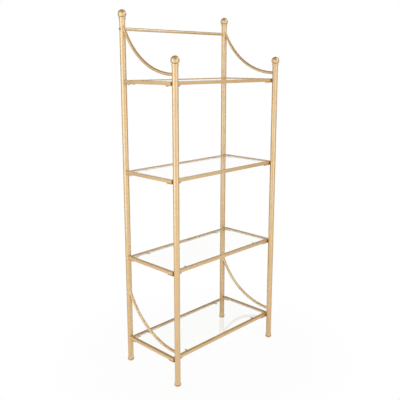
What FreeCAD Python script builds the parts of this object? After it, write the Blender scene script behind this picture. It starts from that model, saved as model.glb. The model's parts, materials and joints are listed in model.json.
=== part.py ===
import FreeCAD, Part
import Sketcher
import os

# A free-standing etagere: four round tube posts, two tall at the back and two shorter at the front, carry
# four square-tube shelf frames with drop-in glass. Quarter-round braces stiffen both sides at the top and
# the bottom, and a round rail joins the rear posts.
# Millimetres. +X is to the right, +Y is towards the back and +Z is up. The origin is on the floor, at the
# middle between the four posts.

SIZES = {
    # Posts and shelf heights. The rises are those of the finials' tops over the top shelf.
    "post_spacing_x": 632,
    "post_spacing_y": 318,
    "post_diameter": 25,
    "post_wall": 1.2,
    "lowest_shelf_top": 126,
    "shelf_pitch": 388,
    "front_rise": 99,
    "rear_rise": 288,
    # Finials: a ball on a narrow neck, over a collar that tapers to the post.
    "ball_diameter": 36,
    "ball_height": 29.5,
    "neck_diameter": 22,
    "neck_height": 2.5,
    "collar_diameter": 30,
    "collar_land": 2,
    "collar_taper": 10,
    "stud_diameter": 8,
    "stud_length": 26,
    "stud_depth": 12,
    "stud_tip_gap": 1,
    "thread_clearance": 0.05,
    "plug_length": 16,
    "plug_clearance": 0.05,
    # Feet: a flared and grooved bead with a rounded underside, on a spigot that fills the post's end.
    "foot_height": 19,
    "foot_bead_diameter": 30,
    "foot_bead_top": 12,
    "foot_bead_bottom": 8,
    "foot_groove_top": 11,
    "foot_groove_height": 2,
    "foot_groove_depth": 1.5,
    "foot_tread_diameter": 20,
    "foot_round": 10,
    "spigot_length": 18,
    "spigot_clearance": 0.1,
    # Shelf frames: mitred square tube between the front and the rear posts.
    "rail_size": 14,
    "rail_wall": 1,
    "rail_edge_radius": 1.2,
    "frame_post_gap": 0.8,
    # Glass panels and the tabs and bumpers that carry them.
    "glass_thickness": 5,
    "glass_recess": 2.5,
    "glass_edge_gap": 1.5,
    "glass_corner_radius": 3,
    "glass_chamfer": 0.6,
    "glass_seat_gap": 0.2,
    "bumper_diameter": 12,
    "bumper_height": 2,
    "bumper_inset": 13,
    "bumper_edge": 0.5,
    "tab_width": 9,
    "tab_length": 17,
    "tab_thickness": 2,
    "tab_corner_radius": 4,
    "tab_end_distance": 86.5,
    # Corner plates welded to the posts under the frames, and their bolts and rivet nuts.
    "plate_thickness": 3,
    "plate_tongue_width": 17,
    "bolt_inset": 6.5,
    "bolt_reach_x": 37,
    "bolt_reach_y": 40,
    "weld_gap": 0.1,
    "bolt_diameter": 5,
    "bolt_length": 12,
    "bolt_head_diameter": 9.5,
    "bolt_head_height": 2.7,
    "bolt_head_round": 1.6,
    "bolt_socket_flats": 3,
    "bolt_socket_depth": 1.6,
    "bolt_hole_clearance": 0.25,
    "nut_diameter": 7,
    "nut_length": 9.5,
    "nut_flange_diameter": 9.6,
    "nut_flange_thickness": 0.5,
    "nut_bulge_diameter": 9,
    "nut_bulge_height": 2,
    "nut_clearance": 0.05,
    "nut_hole_depth": 1.5,
    # Rail between the rear posts, with its end plugs and screws.
    "back_rail_diameter": 13,
    "back_rail_wall": 1.2,
    "rail_plug_length": 20,
    "rail_plug_recess": 1,
    "screw_diameter": 6,
    "screw_reach": 15,
    "screw_head_diameter": 10.5,
    "screw_head_height": 3,
    "screw_head_round": 1.8,
    "screw_socket_flats": 4,
    "screw_socket_depth": 1.8,
    "screw_hole_clearance": 0.25,
    # Side braces: level where they leave the front post, rising along an arc to the rear post.
    "brace_diameter": 13,
    "brace_wall": 1.2,
    "brace_arc_angle": 63.7,
    "brace_lift": 27,
}

SHELVES = ("bottom", "lower", "upper", "top")
SIDES = {"left": -1, "right": 1}

document = FreeCAD.newDocument("etagere")
sheet = document.addObject("Spreadsheet::Sheet", "sizes")
for row, (alias, size) in enumerate(SIZES.items(), start=1):
    sheet.set(f"A{row}", alias)
    sheet.set(f"B{row}", str(size))
    sheet.setAlias(f"B{row}", alias)
document.recompute()

# Derived sizes, as expressions on the sheet.
POST_RADIUS = "(sizes.post_diameter / 2)"
POST_X = "(sizes.post_spacing_x / 2)"
POST_Y = "(sizes.post_spacing_y / 2)"
POST_BORE = f"({POST_RADIUS} - sizes.post_wall)"
POST_NOTCH = f"({POST_RADIUS} + sizes.weld_gap)"
TOP_SHELF_TOP = f"(sizes.lowest_shelf_top + {len(SHELVES) - 1} * sizes.shelf_pitch)"
FINIAL_HEIGHT = "(sizes.ball_height + sizes.neck_height + sizes.collar_land + sizes.collar_taper)"
FRONT_POST_TOP = f"({TOP_SHELF_TOP} + sizes.front_rise - {FINIAL_HEIGHT})"
REAR_POST_TOP = f"({TOP_SHELF_TOP} + sizes.rear_rise - {FINIAL_HEIGHT})"

# Outer faces of the shelf frames, and the middle of a rail's width.
FRAME_X = f"({POST_X} + {POST_RADIUS})"
FRAME_Y = f"({POST_Y} - {POST_RADIUS} - sizes.frame_post_gap)"
RAIL_MIDDLE = "(sizes.rail_size / 2)"
INNER_X = f"({FRAME_X} - sizes.rail_size)"
INNER_Y = f"({FRAME_Y} - sizes.rail_size)"

# Levels under a shelf frame's top.
GLASS_LOW = "(sizes.glass_recess + sizes.glass_thickness)"
BUMPER_TOP = f"({GLASS_LOW} + sizes.glass_seat_gap)"
TAB_TOP = f"({BUMPER_TOP} + sizes.bumper_height)"
TAB_LOW = f"({TAB_TOP} + sizes.tab_thickness)"
PLATE_TOP = "(sizes.rail_size + sizes.nut_flange_thickness)"
PLATE_LOW = f"({PLATE_TOP} + sizes.plate_thickness)"
BOLT_LOW = f"({PLATE_LOW} + sizes.bolt_head_height)"

BRACE_SPAN = "(sizes.post_spacing_y - sizes.post_diameter)"
BRACE_RADIUS = f"({BRACE_SPAN} / sin(sizes.brace_arc_angle * 1deg))"
BRACE_RISE = f"({BRACE_RADIUS} * (1 - cos(sizes.brace_arc_angle * 1deg)))"
BACK_RAIL_Z = f"({TOP_SHELF_TOP} + sizes.brace_lift + {BRACE_RISE})"
SCREW_SEAT_X = f"({POST_X} + {POST_RADIUS})"
SCREW_TIP_X = f"({POST_X} - {POST_RADIUS} - sizes.rail_plug_recess - sizes.screw_reach)"

sub_parts = []


def number(expression):
    """The value of an expression on the sheet."""
    return float(FreeCAD.Units.Quantity(sheet.evalExpression(expression)).Value)


def new_body(label, x="0", y="0", z="0", turn=0):
    """A named sub-part, moved to (x, y, z) and turned about its own vertical axis by so many degrees."""
    body = document.addObject("PartDesign::Body", label)
    body.Label = label
    body.AllowCompound = True
    body.Placement = FreeCAD.Placement(
        FreeCAD.Vector(0, 0, 0), FreeCAD.Rotation(FreeCAD.Vector(0, 0, 1), turn)
    )
    body.setExpression("Placement.Base.x", x)
    body.setExpression("Placement.Base.y", y)
    body.setExpression("Placement.Base.z", z)
    sub_parts.append(body)
    return body


def origin_feature(body, role):
    """The body's own origin plane or axis with this role."""
    return next(feature for feature in body.Origin.OriginFeatures if feature.Role == role)


def new_sketch(body, name, plane="XY_Plane", offset="0"):
    """An empty sketch on one of the body's origin planes, moved along the plane's normal by offset."""
    sketch = body.newObject("Sketcher::SketchObject", name)
    sketch.AttachmentSupport = [(origin_feature(body, plane), "")]
    sketch.MapMode = "FlatFace"
    sketch.setExpression("AttachmentOffset.Base.z", offset)
    return sketch


def bind(sketch, kind, references, expression):
    """Adds a constraint whose value follows the sheet."""
    index = sketch.addConstraint(Sketcher.Constraint(kind, *references, number(expression)))
    sketch.setExpression(f"Constraints[{index}]", expression)


def fix_point(sketch, geometry, vertex, x, y):
    """Holds one vertex of a sketch at (x, y), each an expression."""
    bind(sketch, "DistanceX", (-1, 1, geometry, vertex), x)
    bind(sketch, "DistanceY", (-1, 1, geometry, vertex), y)


def draw_circle(sketch, radius, x="0", y="0"):
    centre = FreeCAD.Vector(number(x), number(y), 0)
    circle = sketch.addGeometry(Part.Circle(centre, FreeCAD.Vector(0, 0, 1), number(radius)))
    fix_point(sketch, circle, 3, x, y)
    bind(sketch, "Radius", (circle,), radius)


def arc_between(start, end, radius, turn):
    """An arc from start to end that turns left (turn 1) or right (turn -1), under half a circle."""
    chord = end - start
    outward = FreeCAD.Vector(chord.y, -chord.x, 0).normalize() * turn
    centre = (start + end) / 2 - outward * (radius**2 - (chord.Length / 2) ** 2) ** 0.5
    return Part.Arc(start, centre + outward * radius, end)


def draw_path(sketch, corners, arcs=None, closed=True):
    """Joins corners, each a pair of expressions, in order. arcs gives the sides that are arcs, by the
    index of the corner they leave: (radius, turn), with turn 1 to the left and -1 to the right."""
    arcs = arcs or {}
    points = [FreeCAD.Vector(number(x), number(y), 0) for x, y in corners]
    count = len(points) if closed else len(points) - 1
    ends = []
    for index in range(count):
        start = points[index]
        end = points[(index + 1) % len(points)]
        if index in arcs:
            radius, turn = arcs[index]
            side = sketch.addGeometry(arc_between(start, end, number(radius), turn))
            # A sketch keeps every arc counter-clockwise, so one that turns right starts at its far end.
            ends.append((side, 1, 2) if turn > 0 else (side, 2, 1))
            bind(sketch, "Radius", (side,), radius)
        else:
            side = sketch.addGeometry(Part.LineSegment(start, end))
            ends.append((side, 1, 2))
    for index in range(count):
        side, first, last = ends[index]
        fix_point(sketch, side, first, *corners[index])
        if closed or index + 1 < count:
            following, following_first, _ = ends[(index + 1) % count]
            sketch.addConstraint(Sketcher.Constraint("Coincident", side, last, following, following_first))
    if not closed:
        side, first, last = ends[-1]
        fix_point(sketch, side, last, *corners[-1])


def draw_rectangle(sketch, x_low, x_high, y_low, y_high):
    draw_path(sketch, [(x_low, y_low), (x_high, y_low), (x_high, y_high), (x_low, y_high)])


def extrude(body, kind, sketch, length, forward=True):
    """A Pad or Pocket that grows along the sketch's normal, or against it where forward is False."""
    feature = body.newObject(f"PartDesign::{kind}", f"{sketch.Name}_{kind}")
    feature.Profile = sketch
    feature.setExpression("Length", length)
    # A Pocket goes against the normal unless it is reversed, the other way round from a Pad.
    feature.Reversed = forward if kind == "Pocket" else not forward
    return feature


def cut_through(body, sketch):
    """A Pocket through the whole body, both ways."""
    feature = body.newObject("PartDesign::Pocket", f"{sketch.Name}_cut")
    feature.Profile = sketch
    feature.Type = "ThroughAll"
    feature.Midplane = True
    return feature


def disc(body, name, spots, radius, low, height, kind="Pad", bore=None, plane="XY_Plane"):
    """Round pads or pockets at several spots, from the level low up by height along the plane's normal."""
    sketch = new_sketch(body, name, plane, low)
    for x, y in spots:
        draw_circle(sketch, radius, x, y)
        if bore:
            draw_circle(sketch, bore, x, y)
    return extrude(body, kind, sketch, height)


def hex_sockets(body, spots, flats, low, depth, plane="XY_Plane"):
    """Six-sided pockets at several spots, from the level low up by depth along the plane's normal."""
    sketch = new_sketch(body, "sockets", plane, low)
    corner_radius = f"({flats} / 2 / cos(30deg))"
    for x, y in spots:
        draw_path(sketch, [(f"{x} + {corner_radius} * cos({60 * corner}deg)",
                            f"{y} + {corner_radius} * sin({60 * corner}deg)") for corner in range(6)])
    return extrude(body, "Pocket", sketch, depth)


def dress(body, kind, base, edge_test, size_name, size):
    """A Fillet or Chamfer on the edges of base that pass edge_test."""
    base.recompute(True)
    edges = [
        f"Edge{index}" for index, edge in enumerate(base.Shape.Edges, start=1) if edge_test(edge)
    ]
    feature = body.newObject(f"PartDesign::{kind}", f"{base.Name}_{kind}")
    feature.Base = (base, edges)
    feature.setExpression(size_name, size)
    return feature


def at_level(edge, level, axis=2):
    """Whether an edge lies in the plane at this level across an axis."""
    box = edge.BoundBox
    low, high = ((box.XMin, box.XMax), (box.YMin, box.YMax), (box.ZMin, box.ZMax))[axis]
    return abs(low - level) < 1e-4 and abs(high - level) < 1e-4


def runs_along(edge, axis):
    """Whether an edge is straight and parallel to an axis."""
    run = edge.Vertexes[-1].Point - edge.Vertexes[0].Point
    return edge.Curve.TypeId == "Part::GeomLine" and abs(abs(run[axis]) - run.Length) < 1e-6


def finish(body, mirrors=(), rows=0):
    """Ends a body, with copies mirrored across its origin planes and repeated upwards for each shelf."""
    if mirrors or rows:
        pattern = body.newObject("PartDesign::MultiTransform", f"{body.Name}_copies")
        pattern.TransformMode = "Whole shape"
        steps = []
        for plane in mirrors:
            mirror = body.newObject("PartDesign::Mirrored", f"{body.Name}_mirror")
            mirror.MirrorPlane = (origin_feature(body, plane), [""])
            steps.append(mirror)
        if rows:
            stack = body.newObject("PartDesign::LinearPattern", f"{body.Name}_rows")
            stack.Direction = (origin_feature(body, "Z_Axis"), [""])
            stack.Occurrences = rows
            stack.setExpression("Length", f"{rows - 1} * sizes.shelf_pitch")
            steps.append(stack)
        pattern.Transformations = steps
        body.Tip = pattern
    body.recompute(True)


def make_post(label, x, y, top, cross_hole):
    """A tube from the foot to the finial. A rear post has a hole for the screw of the back rail."""
    body = new_body(label, x, y)
    disc(body, "tube", [("0", "0")], POST_RADIUS, "sizes.foot_height", f"{top} - sizes.foot_height",
         bore=POST_BORE)
    if cross_hole:
        sketch = new_sketch(body, "screw_hole", "YZ_Plane")
        draw_circle(sketch, "sizes.screw_diameter / 2 + sizes.screw_hole_clearance", "0", BACK_RAIL_Z)
        cut_through(body, sketch)
    finish(body)


def revolve(body, sketch):
    """A full turn of a sketch in the XZ plane about the vertical axis."""
    feature = body.newObject("PartDesign::Revolution", f"{sketch.Name}_turned")
    feature.Profile = sketch
    feature.ReferenceAxis = (origin_feature(body, "Z_Axis"), [""])
    feature.Angle = 360
    return feature


def make_finial(label, x, y, top):
    """A turned ball, neck and collar, with a blind hole for its stud. It stands on the post's end."""
    body = new_body(label, x, y, top)
    neck_low = "(sizes.collar_taper + sizes.collar_land)"
    neck_top = f"({neck_low} + sizes.neck_height)"
    ball_radius = "(sizes.ball_diameter / 2)"
    # The ball ends above its lowest point, where it meets the neck.
    cut_radius = f"sqrt({ball_radius} ^ 2 - (sizes.ball_height - {ball_radius}) ^ 2)"
    hole_radius = "(sizes.stud_diameter / 2 + sizes.thread_clearance)"
    hole_top = "(sizes.stud_depth + sizes.stud_tip_gap)"
    sketch = new_sketch(body, "profile", "XZ_Plane")
    draw_path(
        sketch,
        [
            ("0", hole_top),
            (hole_radius, hole_top),
            (hole_radius, "0"),
            (POST_RADIUS, "0"),
            ("sizes.collar_diameter / 2", "sizes.collar_taper"),
            ("sizes.collar_diameter / 2", neck_low),
            ("sizes.neck_diameter / 2", neck_low),
            ("sizes.neck_diameter / 2", neck_top),
            (cut_radius, neck_top),
            (ball_radius, f"{FINIAL_HEIGHT} - {ball_radius}"),
            ("0", FINIAL_HEIGHT),
        ],
        arcs={8: (ball_radius, 1), 9: (ball_radius, 1)},
    )
    revolve(body, sketch)
    finish(body)


def make_foot(label, x, y):
    """A turned foot: tread, rounded underside, grooved bead, flare to the post and a spigot inside it."""
    body = new_body(label, x, y)
    spigot_radius = f"({POST_BORE} - sizes.spigot_clearance)"
    spigot_top = "(sizes.foot_height + sizes.spigot_length)"
    bead_radius = "(sizes.foot_bead_diameter / 2)"
    groove_radius = f"({bead_radius} - sizes.foot_groove_depth)"
    groove_bottom = "(sizes.foot_groove_top - sizes.foot_groove_height)"
    sketch = new_sketch(body, "profile", "XZ_Plane")
    draw_path(
        sketch,
        [
            ("0", "0"),
            ("sizes.foot_tread_diameter / 2", "0"),
            (bead_radius, "sizes.foot_bead_bottom"),
            (bead_radius, groove_bottom),
            (groove_radius, groove_bottom),
            (groove_radius, "sizes.foot_groove_top"),
            (bead_radius, "sizes.foot_groove_top"),
            (bead_radius, "sizes.foot_bead_top"),
            (POST_RADIUS, "sizes.foot_height"),
            (spigot_radius, "sizes.foot_height"),
            (spigot_radius, spigot_top),
            ("0", spigot_top),
        ],
        arcs={1: ("sizes.foot_round", 1)},
    )
    revolve(body, sketch)
    finish(body)


def make_post_plugs():
    """Threaded plugs pressed into the tops of the posts."""
    body = new_body("post_top_plugs")
    for name, y, top in (("front", f"-{POST_Y}", FRONT_POST_TOP), ("rear", POST_Y, REAR_POST_TOP)):
        disc(body, f"{name}_plug", [(POST_X, y)], f"{POST_BORE} - sizes.plug_clearance",
             f"{top} - sizes.plug_length", "sizes.plug_length",
             bore="sizes.stud_diameter / 2 + sizes.thread_clearance")
    finish(body, mirrors=["YZ_Plane"])


def make_finial_studs():
    """Threaded studs that join the finials to the plugs."""
    body = new_body("finial_studs")
    for name, y, top in (("front", f"-{POST_Y}", FRONT_POST_TOP), ("rear", POST_Y, REAR_POST_TOP)):
        disc(body, f"{name}_stud", [(POST_X, y)], "sizes.stud_diameter / 2",
             f"{top} + sizes.stud_depth - sizes.stud_length", "sizes.stud_length")
    finish(body, mirrors=["YZ_Plane"])


def make_brace(label, x, shelf_top):
    """A bent tube in a side plane. Its ends are cut to the round of the front and the rear post."""
    arc_centre = f"{shelf_top} + sizes.brace_lift + {BRACE_RADIUS}"
    body = new_body(label, x, f"-{POST_Y} + {POST_RADIUS}", arc_centre)
    angle = "sizes.brace_arc_angle * 1deg"
    arc_end = (f"{BRACE_RADIUS} * sin({angle})", f"-{BRACE_RADIUS} * cos({angle})")
    # The straight ends run into the posts, where the notches take them off.
    run_out = f"({POST_RADIUS} / cos({angle}))"
    path_end = (f"{arc_end[0]} + {run_out} * cos({angle})", f"{arc_end[1]} + {run_out} * sin({angle})")
    spine = new_sketch(body, "spine", "YZ_Plane")
    draw_path(
        spine,
        [(f"-{POST_RADIUS}", f"-{BRACE_RADIUS}"), ("0", f"-{BRACE_RADIUS}"), arc_end, path_end],
        arcs={1: (BRACE_RADIUS, 1)},
        closed=False,
    )
    section = new_sketch(body, "section", "XZ_Plane", POST_RADIUS)
    draw_circle(section, "sizes.brace_diameter / 2", "0", f"-{BRACE_RADIUS}")
    draw_circle(section, "sizes.brace_diameter / 2 - sizes.brace_wall", "0", f"-{BRACE_RADIUS}")
    pipe = body.newObject("PartDesign::AdditivePipe", "bent_tube")
    pipe.Profile = section
    pipe.Spine = (spine, [""])
    notches = new_sketch(body, "notches")
    draw_circle(notches, POST_NOTCH, "0", f"-{POST_RADIUS}")
    draw_circle(notches, POST_NOTCH, "0", f"{BRACE_SPAN} + {POST_RADIUS}")
    cut_through(body, notches)
    finish(body)


def make_back_rail():
    """The round tube between the rear posts, with its ends cut to the round of the posts."""
    body = new_body("back_rail", y=POST_Y, z=BACK_RAIL_Z)
    disc(body, "tube", [("0", "0")], "sizes.back_rail_diameter / 2", f"-{POST_X}", "sizes.post_spacing_x",
         bore="sizes.back_rail_diameter / 2 - sizes.back_rail_wall", plane="YZ_Plane")
    notches = new_sketch(body, "notches")
    draw_circle(notches, POST_NOTCH, f"-{POST_X}", "0")
    draw_circle(notches, POST_NOTCH, POST_X, "0")
    cut_through(body, notches)
    finish(body)


def make_back_rail_plugs():
    """Threaded plugs in the ends of the back rail."""
    body = new_body("back_rail_plugs", y=POST_Y, z=BACK_RAIL_Z)
    low = f"{POST_X} - {POST_RADIUS} - sizes.rail_plug_recess - sizes.rail_plug_length"
    disc(body, "plug", [("0", "0")],
         "sizes.back_rail_diameter / 2 - sizes.back_rail_wall - sizes.plug_clearance",
         low, "sizes.rail_plug_length", bore="sizes.screw_diameter / 2 + sizes.thread_clearance",
         plane="YZ_Plane")
    finish(body, mirrors=["YZ_Plane"])


def make_back_rail_screws():
    """Button-head screws through the rear posts into the back rail's plugs."""
    body = new_body("back_rail_screws", y=POST_Y, z=BACK_RAIL_Z)
    head = disc(body, "head", [("0", "0")], "sizes.screw_head_diameter / 2", SCREW_SEAT_X,
                "sizes.screw_head_height", plane="YZ_Plane")
    outer_face = number(f"{SCREW_SEAT_X} + sizes.screw_head_height")
    dress(body, "Fillet", head, lambda edge: at_level(edge, outer_face, axis=0), "Radius",
          "sizes.screw_head_round")
    disc(body, "shank", [("0", "0")], "sizes.screw_diameter / 2", SCREW_TIP_X,
         f"{SCREW_SEAT_X} - {SCREW_TIP_X}", plane="YZ_Plane")
    socket = f"{SCREW_SEAT_X} + sizes.screw_head_height - sizes.screw_socket_depth"
    hex_sockets(body, [("0", "0")], "sizes.screw_socket_flats", socket, "sizes.screw_socket_depth",
                plane="YZ_Plane")
    finish(body, mirrors=["YZ_Plane"])


def make_rail(label, x, y, top, turn, half_length, bolt_distance):
    """One mitred side of a shelf frame. In its own frame it runs along X, with its outer face at Y = 0,
    its inner face towards +Y and its top at Z = 0."""
    body = new_body(label, x, y, top, turn)
    outline = new_sketch(body, "outline")
    inner_half = f"({half_length} - sizes.rail_size)"
    draw_path(outline, [(f"-{half_length}", "0"), (half_length, "0"),
                        (inner_half, "sizes.rail_size"), (f"-{inner_half}", "sizes.rail_size")])
    bar = extrude(body, "Pad", outline, "sizes.rail_size", forward=False)
    dress(body, "Fillet", bar, lambda edge: runs_along(edge, 0), "Radius", "sizes.rail_edge_radius")
    hollow = new_sketch(body, "hollow", "YZ_Plane")
    draw_rectangle(hollow, "sizes.rail_wall", "sizes.rail_size - sizes.rail_wall",
                   "sizes.rail_wall - sizes.rail_size", "-sizes.rail_wall")
    cut_through(body, hollow)
    spots = [(f"-{bolt_distance}", "sizes.bolt_inset"), (bolt_distance, "sizes.bolt_inset")]
    disc(body, "nut_holes", spots, "sizes.nut_diameter / 2 + sizes.nut_clearance", "-sizes.rail_size",
         "sizes.nut_hole_depth", kind="Pocket")
    finish(body)


def make_glass(label, top):
    """A glass panel with rounded corners and ground edges. Its top is the body's origin."""
    body = new_body(label, z=f"{top} - sizes.glass_recess")
    half_x = f"({INNER_X} - sizes.glass_edge_gap)"
    half_y = f"({INNER_Y} - sizes.glass_edge_gap)"
    sketch = new_sketch(body, "outline")
    draw_rectangle(sketch, f"-{half_x}", half_x, f"-{half_y}", half_y)
    sheet_glass = extrude(body, "Pad", sketch, "sizes.glass_thickness", forward=False)
    rounded = dress(body, "Fillet", sheet_glass, lambda edge: runs_along(edge, 2), "Radius",
                    "sizes.glass_corner_radius")
    underside = -number("sizes.glass_thickness")
    dress(body, "Chamfer", rounded, lambda edge: at_level(edge, 0) or at_level(edge, underside), "Size",
          "sizes.glass_chamfer")
    finish(body)


def make_glass_tabs(label, top):
    """Four tabs welded to the inner faces of a frame's front and rear rails."""
    body = new_body(label, z=top)
    half_width = "(sizes.tab_width / 2)"
    middle = f"({INNER_X} - sizes.tab_end_distance)"
    sketch = new_sketch(body, "outline", offset=f"-{TAB_LOW}")
    tip = f"{INNER_Y} - sizes.tab_length"
    draw_rectangle(sketch, f"{middle} - {half_width}", f"{middle} + {half_width}", tip, INNER_Y)
    strip = extrude(body, "Pad", sketch, "sizes.tab_thickness")
    tip_level = number(tip)
    dress(body, "Fillet", strip, lambda edge: runs_along(edge, 2) and at_level(edge, tip_level, axis=1),
          "Radius", "sizes.tab_corner_radius")
    finish(body, mirrors=["YZ_Plane", "XZ_Plane"])


def make_bumpers(label, top):
    """Four clear bumpers on a frame's tabs, under the glass."""
    body = new_body(label, z=top)
    spot = (f"{INNER_X} - sizes.tab_end_distance", f"{INNER_Y} - sizes.bumper_inset")
    pad = disc(body, "bumper", [spot], "sizes.bumper_diameter / 2", f"-{TAB_TOP}", "sizes.bumper_height")
    top_level = -number(BUMPER_TOP)
    dress(body, "Chamfer", pad, lambda edge: at_level(edge, top_level), "Size", "sizes.bumper_edge")
    finish(body, mirrors=["YZ_Plane", "XZ_Plane"])


# The bolts of one corner: one under the side rail and one under the front or rear rail.
BOLT_SPOTS = (
    (f"{FRAME_X} - sizes.bolt_inset", f"{POST_Y} - sizes.bolt_reach_y"),
    (f"{POST_X} - sizes.bolt_reach_x", f"{FRAME_Y} - sizes.bolt_inset"),
)


def make_corner_plates(label, top):
    """Four L-shaped plates under a frame's corners. A tongue reaches each post and is welded to it."""
    body = new_body(label, z=top)
    end_y = f"({POST_Y} - sizes.bolt_reach_y)"
    end_x = f"({POST_X} - sizes.bolt_reach_x)"
    tongue_low = f"({POST_X} - sizes.plate_tongue_width / 2)"
    tongue_high = f"({POST_X} + sizes.plate_tongue_width / 2)"
    sketch = new_sketch(body, "outline", offset=f"-{PLATE_LOW}")
    draw_path(
        sketch,
        [
            (tongue_low, POST_Y),
            (tongue_low, FRAME_Y),
            (end_x, FRAME_Y),
            (f"{end_x} - {RAIL_MIDDLE}", f"{FRAME_Y} - {RAIL_MIDDLE}"),
            (end_x, INNER_Y),
            (INNER_X, INNER_Y),
            (INNER_X, end_y),
            (f"{INNER_X} + {RAIL_MIDDLE}", f"{end_y} - {RAIL_MIDDLE}"),
            (FRAME_X, end_y),
            (FRAME_X, FRAME_Y),
            (tongue_high, FRAME_Y),
            (tongue_high, POST_Y),
        ],
        arcs={index: (RAIL_MIDDLE, 1) for index in (2, 3, 6, 7)},
    )
    extrude(body, "Pad", sketch, "sizes.plate_thickness")
    disc(body, "post_notch", [(POST_X, POST_Y)], POST_NOTCH, f"-{PLATE_LOW}", "sizes.plate_thickness",
         kind="Pocket")
    disc(body, "bolt_holes", BOLT_SPOTS, "sizes.bolt_diameter / 2 + sizes.bolt_hole_clearance",
         f"-{PLATE_LOW}", "sizes.plate_thickness", kind="Pocket")
    finish(body, mirrors=["YZ_Plane", "XZ_Plane"])


def make_shelf_bolts():
    """Button-head bolts that hold the frames on their corner plates, for all shelves."""
    body = new_body("shelf_bolts", z="sizes.lowest_shelf_top")
    head = disc(body, "heads", BOLT_SPOTS, "sizes.bolt_head_diameter / 2", f"-{BOLT_LOW}",
                "sizes.bolt_head_height")
    head_low = -number(BOLT_LOW)
    dress(body, "Fillet", head, lambda edge: at_level(edge, head_low), "Radius", "sizes.bolt_head_round")
    disc(body, "shanks", BOLT_SPOTS, "sizes.bolt_diameter / 2", f"-{PLATE_LOW}", "sizes.bolt_length")
    hex_sockets(body, BOLT_SPOTS, "sizes.bolt_socket_flats", f"-{BOLT_LOW}", "sizes.bolt_socket_depth")
    finish(body, mirrors=["YZ_Plane", "XZ_Plane"], rows=len(SHELVES))


def make_rivet_nuts():
    """Rivet nuts in the undersides of the frames' rails, for all shelves."""
    body = new_body("rail_rivet_nuts", z="sizes.lowest_shelf_top")
    bore = "sizes.bolt_diameter / 2 + sizes.thread_clearance"
    disc(body, "flanges", BOLT_SPOTS, "sizes.nut_flange_diameter / 2", f"-{PLATE_TOP}",
         "sizes.nut_flange_thickness", bore=bore)
    disc(body, "barrels", BOLT_SPOTS, "sizes.nut_diameter / 2", "-sizes.rail_size",
         "sizes.nut_length - sizes.nut_flange_thickness", bore=bore)
    disc(body, "bulges", BOLT_SPOTS, "sizes.nut_bulge_diameter / 2", "sizes.rail_wall - sizes.rail_size",
         "sizes.nut_bulge_height", bore=bore)
    finish(body, mirrors=["YZ_Plane", "XZ_Plane"], rows=len(SHELVES))


def make_shelf(name, level):
    """One shelf: four mitred rails, the glass with its tabs and bumpers, and the corner plates."""
    top = f"(sizes.lowest_shelf_top + {level} * sizes.shelf_pitch)"
    shelf = f"{name}_shelf"
    across = (FRAME_X, f"({POST_X} - sizes.bolt_reach_x)")
    along = (FRAME_Y, f"({POST_Y} - sizes.bolt_reach_y)")
    make_rail(f"{shelf}_front_rail", "0", f"-{FRAME_Y}", top, 0, *across)
    make_rail(f"{shelf}_rear_rail", "0", FRAME_Y, top, 180, *across)
    make_rail(f"{shelf}_left_rail", f"-{FRAME_X}", "0", top, -90, *along)
    make_rail(f"{shelf}_right_rail", FRAME_X, "0", top, 90, *along)
    make_glass(f"{shelf}_glass", top)
    make_glass_tabs(f"{shelf}_glass_tabs", top)
    make_bumpers(f"{shelf}_bumpers", top)
    make_corner_plates(f"{shelf}_corner_plates", top)


for side, sign in SIDES.items():
    post_x = f"{sign} * {POST_X}"
    make_post(f"front_{side}_post", post_x, f"-{POST_Y}", FRONT_POST_TOP, cross_hole=False)
    make_post(f"rear_{side}_post", post_x, POST_Y, REAR_POST_TOP, cross_hole=True)
    make_finial(f"front_{side}_finial", post_x, f"-{POST_Y}", FRONT_POST_TOP)
    make_finial(f"rear_{side}_finial", post_x, POST_Y, REAR_POST_TOP)
    make_foot(f"front_{side}_foot", post_x, f"-{POST_Y}")
    make_foot(f"rear_{side}_foot", post_x, POST_Y)
    make_brace(f"upper_{side}_brace", post_x, TOP_SHELF_TOP)
    make_brace(f"lower_{side}_brace", post_x, "sizes.lowest_shelf_top")
make_post_plugs()
make_finial_studs()
make_back_rail()
make_back_rail_plugs()
make_back_rail_screws()
for level, name in enumerate(SHELVES):
    make_shelf(name, level)
make_shelf_bolts()
make_rivet_nuts()
document.recompute()

# Nothing is written unless every feature was built and every sub-part is a sound solid.
for item in document.Objects:
    if "Invalid" in item.State or "Error" in item.State:
        raise RuntimeError(f"{item.Name} ({item.Label}) was not built: {item.State}")
    if item.TypeId == "Sketcher::SketchObject" and not item.FullyConstrained:
        raise RuntimeError(f"{item.Name} is not fully constrained")
for body in sub_parts:
    if body.Shape.isNull() or not body.Shape.isValid() or not body.Shape.Solids:
        raise RuntimeError(f"{body.Label} is not a sound solid")

os.makedirs("parts", exist_ok=True)
for body in sub_parts:
    body.Shape.exportStep(f"parts/{body.Label}.step")
    print(f"{body.Label}: {len(body.Shape.Solids)} solid(s), {body.Shape.Volume:.1f} mm3")
print(f"{len(sub_parts)} sub-parts")
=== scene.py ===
import json
from math import cos, pi, radians, sin

import bpy
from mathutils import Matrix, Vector

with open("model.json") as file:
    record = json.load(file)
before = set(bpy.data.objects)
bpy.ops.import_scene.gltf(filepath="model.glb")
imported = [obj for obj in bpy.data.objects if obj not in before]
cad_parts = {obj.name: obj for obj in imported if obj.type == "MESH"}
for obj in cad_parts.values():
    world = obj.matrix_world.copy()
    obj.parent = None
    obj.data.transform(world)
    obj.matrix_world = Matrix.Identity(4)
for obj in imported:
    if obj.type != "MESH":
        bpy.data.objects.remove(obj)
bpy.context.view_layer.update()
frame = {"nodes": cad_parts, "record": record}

# The etagere in its studio: satin champagne-gold metal and clear glass, a white floor and three softboxes.
# Metres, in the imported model's frame: +X right, +Y back, +Z up, with the origin on the floor.
# Colours are linear. A name that ends in LIMITS holds where a change starts and where it ends.

MATERIAL_SLOT = {part["node"]: part["material_slot"] for part in frame["record"]["subparts"]}

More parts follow.
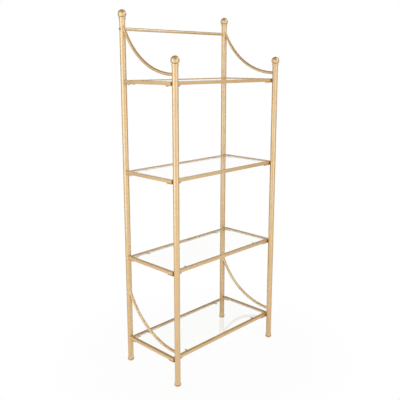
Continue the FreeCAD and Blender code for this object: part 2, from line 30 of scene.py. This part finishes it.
# Camera, fitted to the photograph. Its optical axis meets the picture a little above the middle row.
IMAGE_SIZE = 400
FOCAL_PIXELS = 570.4
AXIS_ROW = 180
CAMERA_PLACE = Vector((-1.8410, -1.7843, 1.3591))
CAMERA_YAW = radians(45.63)
CAMERA_PITCH = radians(11.559)
SENSOR_MM = 36.0
CLIP_START = 0.05

# Patterns: waves per metre and octaves of detail. Most of a pattern's values lie within PATTERN_LIMITS.
DRIFT_PATTERN = (14.0, 3.0)
FLAKE_PATTERN = (1400.0, 1.0)
SMUDGE_PATTERN = (45.0, 4.0)
PEEL_PATTERN = (900.0, 2.0)
GLASS_PATTERN = (6.0, 2.0)
BUMPER_PATTERN = (350.0, 2.0)
PATTERN_LIMITS = (0.35, 0.65)

# Gold paint under its lacquer. Drift and flake are the shares by which they turn the light gold deeper.
GOLD = (0.813, 0.517, 0.205)
GOLD_DEEP = (0.763, 0.477, 0.185)
FASTENER_GOLD = (0.50, 0.33, 0.15)
FASTENER_GOLD_DEEP = (0.42, 0.27, 0.12)
EDGE_TINT = (0.85, 0.72, 0.55)
DRIFT = 0.7
FLAKE = 0.1
METALLIC = 0.5
GOLD_ROUGHNESS = (0.45, 0.55)
PEEL_STRENGTH = 0.02
PEEL_DEPTH = 0.0001
COAT_WEIGHT = 1.0
COAT_IOR = 2.1
COAT_ROUGHNESS = 0.16

# Painted shade: the paint's colour is darkened in crevices, grooves and joints, by how open the surface is to
# its neighbourhood, in place of the shade that falls there.
PAINTED_CREVICE_SHADE = 0.12
CREVICE_REACH = 0.004
CREVICE_LIMITS = (0.3, 0.75)
CREVICE_SAMPLES = 32

GLASS_TINTS = ((0.970, 0.980, 0.960), (0.977, 0.985, 0.967))
GLASS_SHADOW = (0.93, 0.95, 0.94)
GLASS_IOR = 1.5

BUMPER_TINTS = ((0.62, 0.63, 0.62), (0.72, 0.73, 0.72))
BUMPER_ROUGHNESS = (0.35, 0.5)
BUMPER_TRANSMISSION = 0.35
BUMPER_IOR = 1.45

ZINC_TINTS = ((0.55, 0.56, 0.57), (0.66, 0.67, 0.68))
ZINC_ROUGHNESS = (0.28, 0.42)
ZINC_LIMITS = (0.0, 0.8)
ZINC_CRYSTALS_PER_METRE = 500.0

# Studio walls. A rise is the upward part of a direction: 0 is level and 1 is overhead. The fill lights what
# is matt and changes from level to overhead. Reflections find the walls darker overhead and low at the back.
UPWARD = (0, 0, 1)
BACKWARD = (sin(CAMERA_YAW), cos(CAMERA_YAW), 0)
FILL = (1.7, 0.38)
FILL_RISE_LIMITS = (0.0, 0.9)
OVERHEAD_TONE = 0.1
OVERHEAD_RISE_LIMITS = (0.15, 0.45)
BACK_SHADE = 0.85
BACK_LIMITS = (-0.5, 0.5)
BACK_RISE_LIMITS = (-0.02, 0.32)

# Floor. The camera sees FLOOR_PLAIN_SHARE of it as plain white beside the object, and all of it farther away.
# In reflections it darkens towards the back, between two places along BACKWARD.
FLOOR_HALF_SIZE = 9.0
FLOOR_COLOUR = (0.86, 0.86, 0.86)
FLOOR_PLAIN_SHARE = 0.955
FLOOR_PLAIN_LIMITS = (0.35, 0.9)
FLOOR_BACK_LIMITS = (-0.9, 1.5)

# Softboxes. bearing is in degrees, to the right of the direction in which the camera stands from the object.
# height is that of the lamp's middle, and size is its width and height.
SOFTBOXES = {
    "right_softbox": dict(bearing=45, distance=2.2, height=1.15, size=(1.4, 2.0), watts=8.5),
    "left_softbox": dict(bearing=-50, distance=1.5, height=1.15, size=(0.9, 2.0), watts=9),
    "right_top_softbox": dict(bearing=88, distance=1.6, height=2.6, size=(1.0, 1.0), watts=13),
}
SOFTBOX_COLOUR = (0.7, 0.87, 1.0)
SOFTBOX_TARGET = Vector((0, 0, 0.75))

# Blender's Mix node has sockets for each kind of value: the first and second input, and the output.
MIX_SOCKETS = {"FLOAT": (2, 3, 0), "RGBA": (6, 7, 2)}


def new_material(name):
    """A new material and its node tree, which is empty."""
    material = bpy.data.materials.new(name)
    material.use_nodes = True
    material.node_tree.nodes.clear()
    return material, material.node_tree


def feed(tree, source, socket):
    """Gives an input socket what it takes: a link from an output socket, a colour or a number."""
    if isinstance(source, bpy.types.NodeSocket):
        tree.links.new(source, socket)
    elif isinstance(source, tuple):
        socket.default_value = (*source, 1)
    else:
        socket.default_value = source


def object_place(tree):
    """Where a point of the surface is, in metres."""
    return tree.nodes.new("ShaderNodeTexCoord").outputs["Object"]


def noise(tree, place, pattern):
    """A soft random pattern in space."""
    node = tree.nodes.new("ShaderNodeTexNoise")
    tree.links.new(place, node.inputs["Vector"])
    node.inputs["Scale"].default_value, node.inputs["Detail"].default_value = pattern
    return node.outputs["Fac"]


def ramp(tree, source, values, limits=PATTERN_LIMITS):
    """A smooth change from one value to another while the source goes from one limit to the other."""
    node = tree.nodes.new("ShaderNodeMapRange")
    node.data_type = "FLOAT"
    node.interpolation_type = "SMOOTHSTEP"
    node.inputs["From Min"].default_value, node.inputs["From Max"].default_value = limits
    node.inputs["To Min"].default_value, node.inputs["To Max"].default_value = values
    tree.links.new(source, node.inputs["Value"])
    return node.outputs["Result"]


def maths(tree, operation, first, second):
    """A sum, product or other operation on two sockets or numbers."""
    node = tree.nodes.new("ShaderNodeMath")
    node.operation = operation
    feed(tree, first, node.inputs[0])
    feed(tree, second, node.inputs[1])
    return node.outputs[0]


def one_minus(tree, source):
    """The rest that a share leaves."""
    return maths(tree, "SUBTRACT", 1.0, source)


def along(tree, vector, direction):
    """How far a vector reaches along a fixed direction."""
    node = tree.nodes.new("ShaderNodeVectorMath")
    node.operation = "DOT_PRODUCT"
    node.inputs[1].default_value = direction
    tree.links.new(vector, node.inputs[0])
    return node.outputs["Value"]


def length(tree, vector):
    """How long a vector is."""
    node = tree.nodes.new("ShaderNodeVectorMath")
    node.operation = "LENGTH"
    tree.links.new(vector, node.inputs[0])
    return node.outputs["Value"]


def mix(tree, kind, factor, first, second):
    """A blend of two numbers (FLOAT) or colours (RGBA). Each may be a socket that gives one."""
    first_input, second_input, output = MIX_SOCKETS[kind]
    node = tree.nodes.new("ShaderNodeMix")
    node.data_type = kind
    tree.links.new(factor, node.inputs["Factor"])
    feed(tree, first, node.inputs[first_input])
    feed(tree, second, node.inputs[second_input])
    return node.outputs[output]


def mix_shaders(tree, factor, first, second):
    """A blend of two shaders: the first where the factor is 0, the second where it is 1."""
    node = tree.nodes.new("ShaderNodeMixShader")
    tree.links.new(factor, node.inputs[0])
    tree.links.new(first.outputs[0], node.inputs[1])
    tree.links.new(second.outputs[0], node.inputs[2])
    return node


def principled(tree, **inputs):
    """A Principled shader. Its inputs are named as in Blender, with _ for each space."""
    shader = tree.nodes.new("ShaderNodeBsdfPrincipled")
    for name, source in inputs.items():
        feed(tree, source, shader.inputs[name.replace("_", " ")])
    return shader


def set_surface(tree, shader):
    """Makes a shader the material's surface."""
    output = tree.nodes.new("ShaderNodeOutputMaterial")
    tree.links.new(shader.outputs[0], output.inputs["Surface"])


def make_gold(name, light, deep):
    """Metallic gold paint under a clear lacquer: fine flake, slow drifts of tone, a slight orange peel, and
    painted shade: dark lines in the grooves and joints, where shade falls."""
    material, tree = new_material(name)
    place = object_place(tree)
    drift = ramp(tree, noise(tree, place, DRIFT_PATTERN), (0.0, DRIFT))
    flake = ramp(tree, noise(tree, place, FLAKE_PATTERN), (0.0, FLAKE))
    colour = mix(tree, "RGBA", maths(tree, "ADD", drift, flake), light, deep)
    # Painted shade: where ambient occlusion finds the surface closed in, the base colour turns to a dark copy
    # of the deep gold.
    occlusion = tree.nodes.new("ShaderNodeAmbientOcclusion")
    occlusion.samples = CREVICE_SAMPLES
    occlusion.inputs["Distance"].default_value = CREVICE_REACH
    openness = ramp(tree, occlusion.outputs["AO"], (0.0, 1.0), CREVICE_LIMITS)
    painted_crevice_shade = tuple(channel * PAINTED_CREVICE_SHADE for channel in deep)
    peel = tree.nodes.new("ShaderNodeBump")
    peel.inputs["Strength"].default_value = PEEL_STRENGTH
    peel.inputs["Distance"].default_value = PEEL_DEPTH
    tree.links.new(noise(tree, place, PEEL_PATTERN), peel.inputs["Height"])
    shader = principled(
        tree,
        Base_Color=mix(tree, "RGBA", openness, painted_crevice_shade, colour),
        Metallic=METALLIC,
        Roughness=ramp(tree, noise(tree, place, SMUDGE_PATTERN), GOLD_ROUGHNESS),
        Specular_Tint=EDGE_TINT,
        Coat_Weight=COAT_WEIGHT,
        Coat_IOR=COAT_IOR,
        Coat_Roughness=COAT_ROUGHNESS,
        Normal=peel.outputs["Normal"],
    )
    set_surface(tree, shader)
    return material


def make_glass():
    """Clear float glass, a little green through its thickness. The lamps and the walls shine through it."""
    material, tree = new_material("clear_glass")
    glass = principled(
        tree,
        Base_Color=mix(tree, "RGBA", noise(tree, object_place(tree), GLASS_PATTERN), *GLASS_TINTS),
        Roughness=0.0,
        IOR=GLASS_IOR,
        Transmission_Weight=1.0,
    )
    shadow = tree.nodes.new("ShaderNodeBsdfTransparent")
    feed(tree, GLASS_SHADOW, shadow.inputs["Color"])
    path = tree.nodes.new("ShaderNodeLightPath")
    set_surface(tree, mix_shaders(tree, path.outputs["Is Shadow Ray"], glass, shadow))
    return material


def make_bumper():
    """Soft clear plastic, milky and slightly grey."""
    material, tree = new_material("clear_bumper")
    cloud = noise(tree, object_place(tree), BUMPER_PATTERN)
    shader = principled(
        tree,
        Base_Color=mix(tree, "RGBA", cloud, *BUMPER_TINTS),
        Roughness=ramp(tree, cloud, BUMPER_ROUGHNESS),
        IOR=BUMPER_IOR,
        Transmission_Weight=BUMPER_TRANSMISSION,
    )
    set_surface(tree, shader)
    return material


def make_zinc():
    """Zinc plating with a faint crystal pattern."""
    material, tree = new_material("zinc_plate")
    crystals = tree.nodes.new("ShaderNodeTexVoronoi")
    crystals.inputs["Scale"].default_value = ZINC_CRYSTALS_PER_METRE
    tree.links.new(object_place(tree), crystals.inputs["Vector"])
    from_centre = crystals.outputs["Distance"]
    shader = principled(
        tree,
        Base_Color=mix(tree, "RGBA", from_centre, *ZINC_TINTS),
        Metallic=1.0,
        Roughness=ramp(tree, from_centre, ZINC_ROUGHNESS, ZINC_LIMITS),
    )
    set_surface(tree, shader)
    return material


def dress_nodes():
    """Gives every CAD node the finish that its material slot in the record asks for."""
    finishes = {
        "gold_paint": make_gold("gold_paint", GOLD, GOLD_DEEP),
        "gold_fasteners": make_gold("gold_fasteners", FASTENER_GOLD, FASTENER_GOLD_DEEP),
        "clear_glass": make_glass(),
        "clear_bumper": make_bumper(),
        "zinc_fasteners": make_zinc(),
    }
    for name, node in frame["nodes"].items():
        node.data.materials.clear()
        node.data.materials.append(finishes[MATERIAL_SLOT[name]])


def add_camera():
    """The photograph's camera."""
    data = bpy.data.cameras.new("camera")
    data.sensor_width = SENSOR_MM
    data.lens = FOCAL_PIXELS / IMAGE_SIZE * SENSOR_MM
    data.shift_y = (AXIS_ROW - IMAGE_SIZE / 2) / IMAGE_SIZE
    data.clip_start = CLIP_START
    camera = bpy.data.objects.new("camera", data)
    camera.location = CAMERA_PLACE
    camera.rotation_euler = (pi / 2 - CAMERA_PITCH, 0, -CAMERA_YAW)
    bpy.context.scene.collection.objects.link(camera)
    bpy.context.scene.camera = camera


def add_softbox(name, bearing, distance, height, size, watts):
    """A rectangular lamp that shows in reflections only. The walls light what is matt."""
    data = bpy.data.lights.new(name, "AREA")
    data.shape = "RECTANGLE"
    data.size, data.size_y = size
    data.energy = watts
    data.color = SOFTBOX_COLOUR
    lamp = bpy.data.objects.new(name, data)
    lamp.visible_camera = False
    lamp.visible_diffuse = False
    turn = CAMERA_YAW + pi - radians(bearing)
    lamp.location = (sin(turn) * distance, cos(turn) * distance, height)
    lamp.rotation_euler = (SOFTBOX_TARGET - lamp.location).to_track_quat("-Z", "Y").to_euler()
    bpy.context.scene.collection.objects.link(lamp)


def seen_plainly(tree, path):
    """1 for what the camera sees directly, through glass or mirrored in glass, and 0 otherwise."""
    direct = maths(tree, "MAXIMUM", path.outputs["Is Camera Ray"], path.outputs["Is Transmission Ray"])
    return maths(tree, "MAXIMUM", direct, path.outputs["Is Singular Ray"])


def add_world():
    """The studio walls: plain white for the camera and the glass, toned for reflections and for the fill."""
    world = bpy.data.worlds.new("studio")
    bpy.context.scene.world = world
    world.use_nodes = True
    tree = world.node_tree
    tree.nodes.clear()
    path = tree.nodes.new("ShaderNodeLightPath")
    direction = tree.nodes.new("ShaderNodeTexCoord").outputs["Generated"]
    rise = along(tree, direction, UPWARD)
    overhead = ramp(tree, rise, (1.0, OVERHEAD_TONE), OVERHEAD_RISE_LIMITS)
    behind = ramp(tree, along(tree, direction, BACKWARD), (0.0, BACK_SHADE), BACK_LIMITS)
    low = ramp(tree, rise, (1.0, 0.0), BACK_RISE_LIMITS)
    reflected = maths(tree, "MULTIPLY", overhead, one_minus(tree, maths(tree, "MULTIPLY", behind, low)))
    fill = ramp(tree, rise, FILL, FILL_RISE_LIMITS)
    lighting = mix(tree, "FLOAT", path.outputs["Is Glossy Ray"], fill, reflected)
    background = tree.nodes.new("ShaderNodeBackground")
    background.inputs["Color"].default_value = (1, 1, 1, 1)
    strength = mix(tree, "FLOAT", seen_plainly(tree, path), lighting, 1.0)
    tree.links.new(strength, background.inputs["Strength"])
    output = tree.nodes.new("ShaderNodeOutputWorld")
    tree.links.new(background.outputs[0], output.inputs["Surface"])


def make_floor():
    """White paint. The camera and the glass see it mostly plain white, with soft shadows near the feet.
    Reflections in the metal see it plain, and darker towards the back."""
    material, tree = new_material("floor")
    path = tree.nodes.new("ShaderNodeLightPath")
    place = object_place(tree)
    seen = seen_plainly(tree, path)
    plain = ramp(tree, length(tree, place), (FLOOR_PLAIN_SHARE, 1.0), FLOOR_PLAIN_LIMITS)
    reflected = maths(tree, "MULTIPLY", path.outputs["Is Glossy Ray"], one_minus(tree, seen))
    share = maths(tree, "MAXIMUM", maths(tree, "MULTIPLY", seen, plain), reflected)
    behind = ramp(tree, along(tree, place, BACKWARD), (0.0, BACK_SHADE), FLOOR_BACK_LIMITS)
    white = tree.nodes.new("ShaderNodeEmission")
    strength = one_minus(tree, maths(tree, "MULTIPLY", behind, reflected))
    tree.links.new(strength, white.inputs["Strength"])
    paint = tree.nodes.new("ShaderNodeBsdfDiffuse")
    feed(tree, FLOOR_COLOUR, paint.inputs["Color"])
    set_surface(tree, mix_shaders(tree, share, paint, white))
    return material


def add_floor():
    """The floor that the etagere stands on."""
    reach = FLOOR_HALF_SIZE
    mesh = bpy.data.meshes.new("floor")
    mesh.from_pydata(
        [(-reach, -reach, 0), (reach, -reach, 0), (reach, reach, 0), (-reach, reach, 0)], [], [(0, 1, 2, 3)]
    )
    mesh.materials.append(make_floor())
    floor = bpy.data.objects.new("floor", mesh)
    bpy.context.scene.collection.objects.link(floor)


dress_nodes()
add_camera()
add_world()
add_floor()
for name, softbox in SOFTBOXES.items():
    add_softbox(name, **softbox)
bpy.context.scene.view_settings.view_transform = "Standard"
